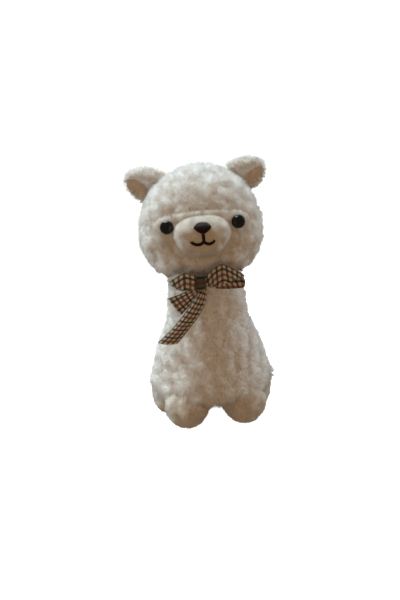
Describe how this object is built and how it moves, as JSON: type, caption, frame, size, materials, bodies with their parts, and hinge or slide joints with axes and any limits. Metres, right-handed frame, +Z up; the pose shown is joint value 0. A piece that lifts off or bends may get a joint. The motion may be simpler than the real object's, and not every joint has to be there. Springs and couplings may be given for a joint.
{
  "type": "plush llama",
  "caption": "Standing plush llama in cream curly pile with a short-pile face, glossy eyes, stitched nose and smile, and a checked ribbon bow.",
  "frame": {"origin": "bottom centre of the bounding box, on the plane of the four foot soles", "axes": "+Z up, -Y the way the face looks, +X to the right of someone who looks at the face"},
  "size_m": [0.1471, 0.1994, 0.2784],
  "materials": {
    "pile": "curly polyester pile over fibre stuffing",
    "velour": "short dense pile over fibre stuffing",
    "lining": "short brushed pile",
    "thread": "satin stitching",
    "ribbon": "woven check",
    "eye": "polished",
    "washer": "as moulded"
  },
  "bodies": {
    "root": {"body": "pile", "head": "pile", "tail": "pile", "ear_left": "pile", "ear_right": "pile", "ear_lining_left": "lining", "ear_lining_right": "lining", "face_panel": "velour", "muzzle": "velour", "leg_front_left": "velour", "leg_front_right": "velour", "leg_rear_left": "velour", "leg_rear_right": "velour", "nose": "thread", "mouth": "thread", "eye_left": "eye", "eye_right": "eye", "eye_washer_left": "washer", "eye_washer_right": "washer", "ribbon": "ribbon"}
  },
  "joints": []
}
